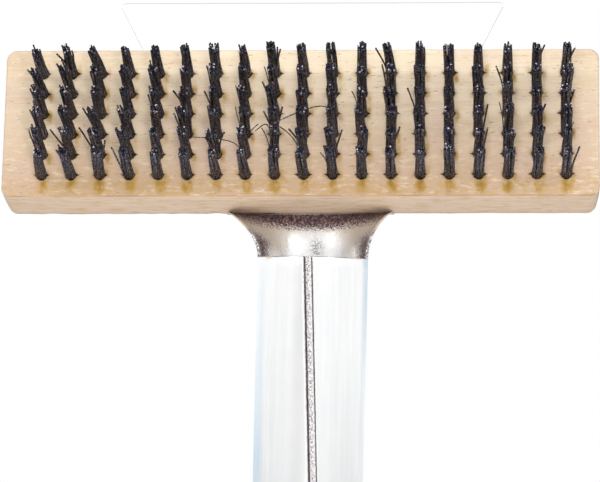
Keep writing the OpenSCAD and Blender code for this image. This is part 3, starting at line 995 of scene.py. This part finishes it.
def wing(skin, side):
    """One ear of the wing screw: a flat lobe with a rounded rim, thicker towards the hub."""
    round_lobe = [
        LOBE + LOBE_R * Vector((math.cos(a), math.sin(a)))
        for a in spread(math.radians(-41), math.radians(127), 22)
    ]
    outer = curve([Vector((2.2, 29.9)), Vector((7.0, 30.7)), round_lobe[0]], 6)
    inner = curve(
        [round_lobe[-1], Vector((4.3, 37.2)), Vector((3.1, 35.2)), Vector((2.2, 34.2))], 5
    )
    outline = outer + round_lobe[:-1] + inner
    n = len(outline)
    inward = []
    for k in range(n):
        along = (outline[(k + 1) % n] - outline[k - 1]).normalized()
        inward.append(Vector((-along.y, along.x)))
    rim_steps = ((1.5, 1.0), (0.9, 0.97), (0.5, 0.86), (0.2, 0.66), (0.04, 0.42))
    loops = []
    for up, steps in ((1, rim_steps), (-1, reversed(rim_steps))):
        for inset, share in steps:
            loop = []
            for p, away in zip(outline, inward):
                across, x = p + away * inset
                swell = 1 + 0.35 * max(0.0, 1 - across / 7)
                y = up * share * WING_HALF_T * swell
                loop.append(skin.point((x, y, LOCK_Z + side * across)))
            loops.append(loop)
    for a, b in zip(loops, loops[1:]):
        skin.bridge(a, b)
    skin.face(tuple(loops[0]))
    skin.face(tuple(loops[-1]))


def build_wing_screw():
    """The wing screw: pin, tip, thread, neck, hub and two ears."""
    skin = Skin()
    lathe(skin, ((PIN_X, 1.05), (PIN_X + 0.12, 1.2), (TIP_X + 0.1, 1.2)))
    lathe(skin, (
        (TIP_X, 2.0), (TIP_X + 0.1, 2.3), (TIP_X + 0.35, THREAD_ROOT_R), (TIP_X + 0.6, 2.5),
    ))
    threaded(skin, TIP_X + 0.3, HUB_X - 0.8)
    lathe(skin, ((HUB_X - 1.6, 2.5), (HUB_X - 1.3, 2.95), (HUB_X + 0.2, 2.95)))
    lathe(skin, (
        (HUB_X, 2.6), (HUB_X, 4.3), (HUB_X + 0.1, 4.6), (HUB_X + 0.35, 4.78), (HUB_X + 0.8, 4.76),
        (HUB_X + 3.9, 4.1), (HUB_X + 4.5, 3.85), (HUB_X + 4.85, 3.4), (HUB_X + HUB_L, 2.6),
        (HUB_X + HUB_L, 1.6), (HUB_X + HUB_L - 0.35, 1.1), (HUB_X + HUB_L - 0.45, 0.4),
    ))
    for side in (-1, 1):
        wing(skin, side)
    skin.piece("wing_screw", [FASTENER], "wing_screw", ["lock_screw"])


# ---------------------------------------------------------------- CAD nodes that stay
def finish_node(name, material, rounding=0.0):
    """Gives a CAD node its material, and rounds its edges by a radius in millimetres."""
    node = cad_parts[name]
    for slot in node.material_slots:
        slot.material = material
    if rounding:
        weld = node.modifiers.new("weld", "WELD")
        weld.merge_threshold = 0.001 * MM
        bevel = node.modifiers.new("bevel", "BEVEL")
        bevel.width, bevel.segments = rounding * MM, 3
        bevel.limit_method, bevel.angle_limit = "ANGLE", math.radians(30)
        bevel.harden_normals = True


# ---------------------------------------------------------------- camera, light and floor
CAMERA_DISTANCE, CAMERA_LENS, SENSOR = 1.5, 293.3, 36.0
CAMERA_BELOW, CAMERA_ASIDE, CAMERA_ROLL = map(math.radians, (14.6, 2.11, -0.42))
AIM_RIGHT, AIM_UP = 0.076, -13.714


def make_camera():
    """The camera looks up at the bristle face from a little below it and to the right."""
    e, a, r = CAMERA_BELOW, CAMERA_ASIDE, CAMERA_ROLL
    toward = Vector((math.sin(a) * math.cos(e), -math.cos(a) * math.cos(e), -math.sin(e)))
    level = Vector((math.cos(a), math.sin(a), 0))
    up = Vector((math.sin(a) * math.sin(e), -math.cos(a) * math.sin(e), math.cos(e)))
    right = math.cos(r) * level - math.sin(r) * up
    top = math.sin(r) * level + math.cos(r) * up
    edge = Vector((-BLOCK_SHIFT, FACE_Y, 0))
    target = (edge + right * AIM_RIGHT + top * AIM_UP) * MM
    turn = Matrix((right, top, toward)).transposed().to_4x4()
    data = bpy.data.cameras.new("camera")
    data.lens, data.sensor_width = CAMERA_LENS, SENSOR
    data.clip_start, data.clip_end = 0.05, 50
    camera = bpy.data.objects.new("camera", data)
    bpy.context.scene.collection.objects.link(camera)
    camera.matrix_world = BLOCK @ Matrix.Translation(target + toward * CAMERA_DISTANCE) @ turn
    bpy.context.scene.camera = camera


def make_light(name, place, aim, size, power, mirrored=False, spread=180):
    """A round lamp. Only a mirrored one shows in glossy surfaces."""
    data = bpy.data.lights.new(name, "AREA")
    data.shape, data.size, data.energy = "DISK", size, power
    data.spread = math.radians(spread)
    lamp = bpy.data.objects.new(name, data)
    lamp.visible_glossy = mirrored
    lamp.visible_camera = False
    bpy.context.scene.collection.objects.link(lamp)
    lamp.location = place
    lamp.rotation_euler = (Vector(aim) - Vector(place)).to_track_quat("-Z", "Y").to_euler()


def make_world():
    """A pale room: dimmer overhead, behind and to the front left, and cool low down behind."""
    world = bpy.data.worlds.new("studio")
    world.use_nodes = True
    bpy.context.scene.world = world
    tree = world.node_tree
    tree.nodes.clear()
    rays = add(tree, "ShaderNodeLightPath")
    around = add(tree, "ShaderNodeSeparateXYZ", {
        "Vector": add(tree, "ShaderNodeTexCoord").outputs["Generated"],
    })
    x, y, z = (around.outputs[axis] for axis in "XYZ")
    room = mixed(tree, window(tree, z, 0.6, 0.9), (1.0, 1.0, 1.0), (0.62, 0.63, 0.65))
    dip = maths(tree, "MULTIPLY", window(tree, x, -0.75, -0.4), window(tree, x, 0.02, -0.22))
    level = maths(tree, "MULTIPLY", window(tree, y, 0, -0.4), window(tree, z, 0.3, 0.12))
    room = mixed(tree, maths(tree, "MULTIPLY", dip, level), room, (0.84, 0.84, 0.82))
    behind = maths(tree, "MULTIPLY", window(tree, y, 0.2, 0.8), window(tree, z, 0.04, 0.5, 0, 0.7))
    room = mixed(tree, behind, room, (0.50, 0.51, 0.53))
    left = maths(tree, "MULTIPLY", window(tree, x, 0.0, -0.2), window(tree, y, 0.25, 0.6))
    cool = maths(tree, "MULTIPLY", left, window(tree, z, 0.026, -0.002))
    room = mixed(tree, cool, room, (0.50, 0.71, 0.86))
    right = maths(tree, "MULTIPLY", window(tree, x, 0.0, 0.15), window(tree, y, 0.55, 0.8))
    cool = maths(tree, "MULTIPLY", right, window(tree, z, 0.012, 0.032))
    room = mixed(tree, cool, room, (0.60, 0.70, 0.78))
    strength = window(tree, rays.outputs["Is Diffuse Ray"], 0, 1, 1.08, 0.58)
    lit = add(tree, "ShaderNodeBackground", {"Color": room, "Strength": strength})
    seen = add(tree, "ShaderNodeBackground", {"Color": (1, 1, 1, 1), "Strength": 1.0})
    both = add(tree, "ShaderNodeMixShader", {"Fac": rays.outputs["Is Camera Ray"]})
    tree.links.new(lit.outputs[0], both.inputs[1])
    tree.links.new(seen.outputs[0], both.inputs[2])
    output = add(tree, "ShaderNodeOutputWorld")
    tree.links.new(both.outputs[0], output.inputs["Surface"])


def make_floor():
    """A plain pale floor under the part."""
    material, tree, surface = new_material("pale_floor", Roughness=0.7)
    soft = noise_of(tree, (3, 3, 3), 2, 0.5)
    colour = ramp(tree, soft, (0.2, (0.80, 0.80, 0.80)), (0.8, (0.83, 0.83, 0.82)))
    feed(tree, surface, Base_Color=colour)
    mesh = bpy.data.meshes.new("floor")
    work = bmesh.new()
    bmesh.ops.create_circle(work, cap_ends=True, radius=3.0, segments=96)
    work.to_mesh(mesh)
    work.free()
    mesh.materials.append(material)
    floor = bpy.data.objects.new("floor", mesh)
    floor.location.z = cad_box[0].z
    bpy.context.scene.collection.objects.link(floor)


make_camera()
make_world()
make_floor()
# Name, place, aim, diameter in metres and power in watts. The small lamps near the floor and
# inside the socket, below the neck, stand in for light that the polished sheet throws back.
make_light("front", (0.05, -2.0, 0.52), (0, 0, 0.15), 0.5, 15)
make_light("front_low", (0.03, -0.6, 0.03), (0, 0, 0.16), 0.05, 0.09, spread=60)
make_light("low_left", (-0.07, -0.08, 0.004), (-0.07, -0.06, 1), 0.12, 0.04)
make_light("low_right", (0.07, -0.08, 0.004), (0.07, -0.06, 1), 0.12, 0.04)
make_light("neck", (0.0, -0.004, 0.1), (0, 0, 1), 0.022, 0.003)
make_light("key_left", (-0.9, -1.2, 0.8), (0, 0, 0.14), 0.5, 3, mirrored=True)
make_light("key_right", (0.9, -1.2, 0.8), (0, 0, 0.14), 0.5, 3, mirrored=True)
bpy.context.scene.view_settings.view_transform = "Standard"

build_block()
build_tufts()
build_bracket()
build_wing_screw()
finish_node("bracket_screws", FASTENER, 0.12)
finish_node("tuft_anchors", ANCHOR)
finish_node("lock_nut", FASTENER, 0.3)
finish_node("lock_pad", BRASS, 0.2)
